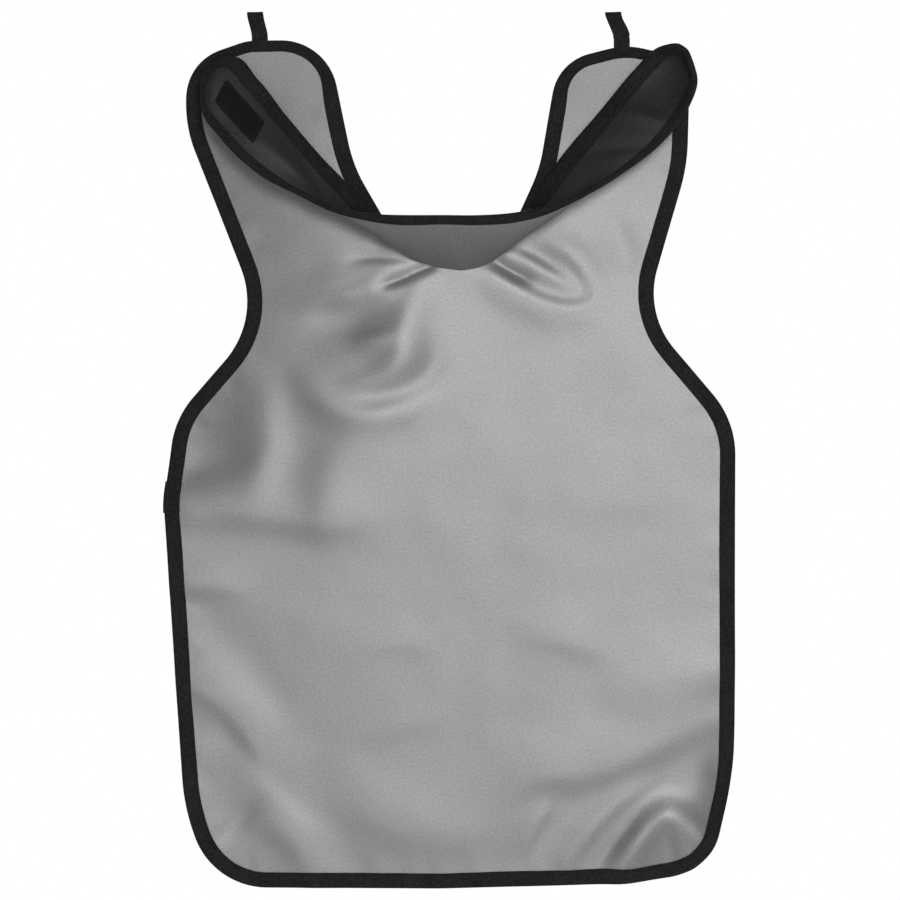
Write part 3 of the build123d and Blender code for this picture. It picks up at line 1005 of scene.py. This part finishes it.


# the grey cloth's last value is the share of painted shade up the tabs
grey_cloth = cover_cloth("grey_cloth", grey(0.31), grey(0.48), 0.46, 0.62, 0.27)
back_cloth = cover_cloth("back_cloth", grey(0.29), grey(0.44), 0.5, 0.5)
# painted shade: the collar's outer face is the body's grey nylon, given a darker copy of its colour
painted_shade_collar_cloth = cover_cloth("painted_shade_collar_cloth", grey(0.17), grey(0.27), 0.55, 0.3)
lining_cloth = cover_cloth("lining_cloth", grey(0.018), grey(0.056), 0.55, 0.3)
black_tape = woven_tape("black_tape", grey(0.002), grey(0.042))
black_thread = plain_grain("black_thread", grey(0.006), grey(0.02), 0.55, 2500.0, 0.0001)
lead_vinyl = plain_grain("lead_vinyl", grey(0.14), grey(0.2), 0.6, 400.0, 0.0001)
hook_tape = plain_grain("hook_tape", grey(0.0005), grey(0.018), 0.85, 900.0, 0.0002)
loop_tape = plain_grain("loop_tape", grey(0.006), grey(0.024), 0.85, 1500.0, 0.0004)

# ------------ panel and tabs

PANEL_BODY = ("panel",)
# how far past a seam the start of a bend is set
SEAM_HOLD = 3.0
TAB_BEND = ((0, 0, (FOLD_Z + SEAM_HOLD) * MM), (0, 0, (FOLD_Z + 46) * MM))
TAPE_FACE = COVER_FACE + TAPE - 0.1
# How the layers lie, how they are held and what they rest on.
HUNG = (on_panel, "hung", ["left_hanging_loop", "right_hanging_loop"])
DRAPED = (on_collar, "draped", ["panel_front_cloth"])


def attach(piece, slot, body, parent=None, start=None, end=None):
    """Rides a piece on a body, or, when a parent body is given, bakes its place into its points.
    The slot, start and end are not used.
    """
    if parent is None:
        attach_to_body(piece, body)
    else:
        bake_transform(piece)


panel_runs = runs_where(outline, outline_in, lambda p: FOLD_Z - p[:, 1])
panel_runs.sort(key=lambda run: -len(run[0]))
tab_runs = runs_where(outline, outline_in, lambda p: p[:, 1] - FOLD_Z)
tab_runs.sort(key=lambda run: run[0][:, 0].mean())
edge_run, neck_run = panel_runs


def near_gathers(points):
    """Mesh pitch wanted at each point: fine where the folds are sharp."""
    x, z = points.T
    neck = (np.abs(x + 10) < 140) & (z > -335)
    corner = (x > 60) & (z < -600)
    return np.where(neck | corner, FINE, COARSE)


def cut_sheet(runs, inset, step, pitch_at, halvings=1):
    """A sheet's cut edge, and its mesh in the flat."""
    cut = loop_of(runs, inset, step)
    return cut, flat_mesh(cut, pitch_at, halvings)


def build_layers(prefix, layers, lie, where):
    """The sheets of one body: name, cut sheet, both faces' heights, finish, slot and nodes."""
    place, held, rests_on = lie
    for name, (cut, fill), front, back, material, slot, nodes in layers:
        piece = shell(prefix + name, fill, place, front, back, material)
        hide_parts(*nodes)
        attach(piece, slot, *where)


def build_flat_goods(prefix, runs, fronts, backs, cores, where):
    """Front cover, back cover and core sheets of the panel or of a tab."""
    cover = cut_sheet(runs, COVER_INSET, OUTLINE_STEP, near_gathers)
    core = cut_sheet(runs, CORE_INSET, 2 * OUTLINE_STEP, near_gathers, 0)
    layers = (
        ("front_cloth", cover, COVER_FACE, COVER_BACK, grey_cloth, "grey_cloth", fronts),
        ("back_cloth", cover, -COVER_BACK, -COVER_FACE, back_cloth, "back_cloth", backs),
        ("core_sheets", core, CORE_FACE, -CORE_FACE, lead_vinyl, "lead_vinyl", cores),
    )
    build_layers(prefix, layers, HUNG, where)


def build_edge(tape_name, sewn_name, run, place, face, share, nodes, where):
    """The tape over one stretch of an edge, and its stitching; nodes are for each in turn."""
    tape = folded_tape(tape_name, run, place, face, share=share)
    sewn = stitches(sewn_name, run, place, face + TAPE - 0.1, STITCH_INSET * share)
    for piece, node in zip((tape, sewn), nodes):
        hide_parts(node)
    attach(tape, "black_tape", *where)
    attach(sewn, "black_thread", *where)


def build_panel_edge(name, run, nodes, where):
    """The tape and the stitching over one stretch of the outline."""
    names = (name, f"{name}_stitches")
    build_edge(*names, run, on_panel, COVER_FACE, edge_share(run[0]), nodes, where)


covers = (["front_cover"], ["back_cover"], ["front_core", "back_core"])
build_flat_goods("panel_", panel_runs, *covers, PANEL_BODY)
build_panel_edge("panel_edge_tape", edge_run, ("edge_binding", "panel_stitching"), PANEL_BODY)

for side, run in zip(("left", "right"), tab_runs):
    tab = f"{side}_tab"
    where = (tab, "panel", *TAB_BEND)
    covers = ([f"{tab}_front_cover"], [f"{tab}_back_cover"], [f"{tab}_core"])
    build_flat_goods(f"{tab}_", [run], *covers, where)
    build_panel_edge(f"{tab}_edge_tape", run, (f"{tab}_binding", f"{tab}_stitching"), where)

# the tape's two ends lap low on the left side
low_run = runs_where(
    outline,
    outline_in,
    lambda p: np.where(p[:, 0] < 0, np.minimum(p[:, 1] - LAP_Z[0], LAP_Z[1] - p[:, 1]), -1.0),
)[0]
lap_run = (low_run[0] - low_run[1] * TAPE, low_run[1])
LAP_FLANGE = FLANGE + 1.2
lap = folded_tape("edge_tape_lap", lap_run, on_panel, TAPE_FACE, LAP_FLANGE, LAP_FLANGE)
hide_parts("binding_lap")
attach(lap, "black_tape", *PANEL_BODY)

# the neckline's tape is folded to the back; the collar's foot covers its narrow front lip
NECK_LIP = 2.5
neck_tape = folded_tape("neckline_tape", neck_run, on_panel, COVER_FACE, NECK_LIP)
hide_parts("neckline_binding")
attach(neck_tape, "black_tape", *PANEL_BODY)
neck_sewn = stitches("neckline_stitches", neck_run, on_panel, -TAPE_FACE, both=False)
attach(neck_sewn, "black_thread", *PANEL_BODY)

# ------------ hanging loops

LOOP_FOOT_Y = -4.6
TAIL_LENGTH = 9.0
TAIL_WIDTH = 13.0
TAIL_FACE = TAPE_FACE + 1.5
# Loop: middle, height of the foot, how far the foot stands to the right, sideways twist.
LOOPS = {"left": (-157.5, -17.5, 2.1, 0.0), "right": (135.0, -19.5, 3.5, -1.6)}


def zigzag(centre, width, tall, step):
    """A bar tack's zigzag path with a filler for its inward vectors."""
    xs = np.arange(-width / 2, width / 2 + 0.01, step)
    zs = tall / 2 * np.where(np.arange(len(xs)) % 2, 1, -1)
    path = np.stack([centre[0] + xs, centre[1] + zs], 1)
    return path, np.zeros_like(path)


for side, (middle, foot_z, shift, twist) in LOOPS.items():
    loop = tape_loop(f"{side}_hanging_loop", middle, (LOOP_FOOT_Y, foot_z), shift, twist)
    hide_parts(f"{side}_loop")
    # the loop's bend ends: at its foot, sewn to the tab, and 5 mm above
    bend = ((0, 0, foot_z * MM), (0, 0, (foot_z + 5) * MM))
    attach(loop, "black_tape", f"{side}_loop", f"{side}_tab", *bend)
    centre = (middle + shift, foot_z + 0.4 - TAIL_LENGTH / 2)
    patch, _ = rectangle(centre, (TAIL_WIDTH, TAIL_LENGTH + 2), 0.6)
    fill = flat_mesh(patch, everywhere(FINE))
    name = f"{side}_loop_tail_tape"
    tail = shell(name, fill, on_panel, TAIL_FACE, TAPE_FACE - 0.1, black_tape)
    run = zigzag((centre[0], centre[1] - TAIL_LENGTH / 2 + 1.4), 11.0, 1.8, 0.5)
    name = f"{side}_loop_bar_tack"
    tack = stitches(name, run, on_panel, TAIL_FACE, 0.0, pitch=1.8, both=False)
    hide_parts(f"{side}_loop_tail")
    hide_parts(f"{side}_loop_tack")
    where = (f"{side}_tab", "panel", *TAB_BEND)
    attach(tail, "black_tape", *where)
    attach(tack, "black_thread", *where)

# ------------ collar

root_left, root_right = (station_run[k] for k in COLLAR_ROOTS)
# How far past the wing's root the tape of its inner edge goes on before the rim hides it.
FOOT_TAPE = 32.0
corners = ((0, 0), (0, COLLAR_WIDTH), (COLLAR_LENGTH, COLLAR_WIDTH), (COLLAR_LENGTH, 0))
collar_path = filleted([(*corner, COLLAR_TIP_RADIUS) for corner in corners], COLLAR_STEP)
collar_in = inward_of(collar_path)


def collar_runs(keep):
    """The stretches of the collar's edge where keep(points) is positive."""
    return runs_where(collar_path, collar_in, keep)


def foot_reach(points):
    """How far the wing's tape goes on past the root: only along the foot."""
    return FOOT_TAPE * (points[:, 1] < COLLAR_WIDTH / 2)


middle_runs = collar_runs(lambda p: np.minimum(p[:, 0] - root_left, root_right - p[:, 0]))
middle_runs.sort(key=lambda run: -run[0][:, 1].mean())
# Wing: its stretch of the edge, the stretch that is taped, and the stations it bends between.
WINGS = {
    "left": (
        collar_runs(lambda p: root_left - p[:, 0]),
        collar_runs(lambda p: root_left + foot_reach(p) - p[:, 0]),
        (COLLAR_ROOTS[0], 3),
    ),
    "right": (
        collar_runs(lambda p: p[:, 0] - root_right),
        collar_runs(lambda p: p[:, 0] - root_right + foot_reach(p)),
        (COLLAR_ROOTS[1], 14),
    ),
}


def build_collar_stretch(prefix, runs, taped, nodes, where):
    """Outer cover, core, lining, rim tape and stitching of one stretch of the collar."""
    cover = cut_sheet(runs, COVER_INSET, COLLAR_STEP, everywhere(FINE))
    core = cut_sheet(runs, CORE_INSET, 2 * COLLAR_STEP, everywhere(COARSE))
    face, back, inner = COLLAR_FACE, COLLAR_BACK, COLLAR_CORE_FACE
    layers = (
        # the outer face wears the darker, painted-shade copy of the grey nylon
        ("outer_cloth", cover, face, back, painted_shade_collar_cloth, "grey_cloth", [f"{nodes}_outer"]),
        ("core_sheet", core, inner, -inner, lead_vinyl, "lead_vinyl", [f"{nodes}_core"]),
        ("lining_cloth", cover, -back, -face, lining_cloth, "charcoal_lining", [f"{nodes}_lining"]),
    )
    build_layers(prefix, layers, DRAPED, where)
    names = (prefix + "rim_tape", prefix + "rim_stitches")
    share = collar_share(taped[0])
    build_edge(*names, taped, on_collar, face, share, [f"{nodes}_binding"], where)


def wing_bend(k_root, k_out):
    """Where a wing's bend starts and ends: square to its seam, and clear of it."""
    root = stations[k_root, :2].mean(0)
    along = stations[k_out, :2].mean(0) - root
    seam = stations[k_root, 0] - stations[k_root, 1]
    across = along - seam * (along @ seam) / (seam @ seam)
    held = unit(across) * SEAM_HOLD
    return tuple((root + held) * MM), tuple((root + across) * MM)


# the collar's bend ends: low on its foot, where it is sewn to the panel
COLLAR_BEND = ((0, 0, -0.206), (0, 0, -0.186))
where = ("collar", "panel", *COLLAR_BEND)
build_collar_stretch("collar_", middle_runs, middle_runs[0], "collar", where)
for side, (runs, taped, bend) in WINGS.items():
    wing = f"{side}_wing"
    where = (wing, "collar", *wing_bend(*bend))
    build_collar_stretch(f"{wing}_", runs, taped[0], wing, where)

# ------------ touch fastener

STRIP_SIZE = (46.0, 16.0)
STRIP_BACKING = 0.8
STRIP_SEAM_INSET = 1.2
STRIP_SEAM_PITCH = 2.4


def build_strip(name, node, face, tall, pitch, material, where):
    """A strip sewn to one face of a wing: backing, filaments and stitches round its edge."""
    low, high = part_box(node)
    centre = collar_flat_at((low[0] + high[0]) / 2 / MM, (low[2] + high[2]) / 2 / MM)
    run = rectangle(centre, STRIP_SIZE, 1.5)
    base = face * COLLAR_FACE
    top = face * (COLLAR_FACE + STRIP_BACKING)
    fill = flat_mesh(run[0], everywhere(FINE))
    backing = shell(f"{name}_backing", fill, on_collar, top, base, material)
    pile = bristles(f"{name}_pile", run, on_collar, top, tall, pitch, material)
    # the seam goes all the way round, on the strip and on the wing's other face
    seam = [np.vstack([rows, rows[:1]]) for rows in run]
    spacing = (STRIP_SEAM_INSET, STRIP_SEAM_PITCH, False)
    sewn = stitches(f"{name}_stitches", seam, on_collar, top, *spacing)
    through = stitches(f"{name}_back_stitches", seam, on_collar, -base, *spacing)
    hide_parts(node)
    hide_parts(f"{node}_stitching")
    for piece in (backing, pile):
        attach(piece, name, *where)
    for piece in (sewn, through):
        attach(piece, "black_thread", *where)


for side, name, node, face, tall, pitch, material in (
    ("left", "hook_tape", "hook_strip", -1, 1.1, 1.25, hook_tape),
    ("right", "loop_tape", "loop_strip", 1, 0.8, 1.0, loop_tape),
):
    where = (f"{side}_wing", "collar", *wing_bend(*WINGS[side][2]))
    build_strip(name, node, face, tall, pitch, material, where)

# ------------ studio

bpy.context.scene.view_settings.view_transform = "Standard"

camera_data = bpy.data.cameras.new("camera")
camera_data.lens = 100
camera_data.sensor_width = 36
# level with the apron's middle, 2 m in front of it
camera = shown("camera", camera_data)
camera.location = (-0.001, -2.034, -0.3516)
camera.rotation_euler = (math.pi / 2, 0, 0)
bpy.context.scene.camera = camera

APRON_MIDDLE = (0, 0, -0.35)


def area_light(name, place, size, power):
    """A square light in metres and watts, turned to the apron's middle."""
    data = bpy.data.lights.new(name, "AREA")
    data.size = size
    data.energy = power
    light = shown(name, data)
    light.location = place
    aim = Vector(np.subtract(APRON_MIDDLE, place))
    light.rotation_euler = aim.to_track_quat("-Z", "Y").to_euler()


area_light("key", (0.55, -3.6, 0.5), 1.1, 41)
area_light("low_front", (0.3, -2.6, -0.7), 1.2, 7)
area_light("back", (0.4, 2.6, 0.8), 1.6, 60)

# the surroundings look white to the camera but light the apron only faintly
WHITE = (1, 1, 1, 1)
FILL_STRENGTH = 0.12
world = bpy.data.worlds.new("studio")
world.use_nodes = True
sky = world.node_tree
background = sky.nodes["Background"]
background.inputs["Color"].default_value = WHITE
background.inputs["Strength"].default_value = FILL_STRENGTH
seen = add_node(sky, "ShaderNodeBackground", {"Color": WHITE})
ray = add_node(sky, "ShaderNodeLightPath").outputs["Is Camera Ray"]
layers = {0: ray, 1: background.outputs[0], 2: seen.outputs[0]}
either = add_node(sky, "ShaderNodeMixShader", layers)
sky.links.new(either.outputs[0], sky.nodes["World Output"].inputs["Surface"])
bpy.context.scene.world = world

FLOOR_RADIUS = 4.0
FLOOR_Z = -1.5
FLOOR_GLOW = 0.45
angles = np.linspace(0, 2 * math.pi, 97)[:-1]
rim = [(FLOOR_RADIUS * math.cos(a), FLOOR_RADIUS * math.sin(a), FLOOR_Z) for a in angles]
floor_mesh = bpy.data.meshes.new("floor")
floor_mesh.from_pydata(rim, [], [tuple(range(len(rim)))])
paint, tree, shader = new_material("floor_paint")
set_gloss(shader, Base_Color=(0.9, 0.9, 0.9, 1), Roughness=0.8, Emission_Color=WHITE)
# the paint looks pale to the camera without lighting the apron from below
ray = add_node(tree, "ShaderNodeLightPath").outputs["Is Camera Ray"]
glow = arithmetic(tree, "MULTIPLY", ray, FLOOR_GLOW)
tree.links.new(glow, shader.inputs["Emission Strength"])
floor_mesh.materials.append(paint)
floor = shown("floor", floor_mesh)
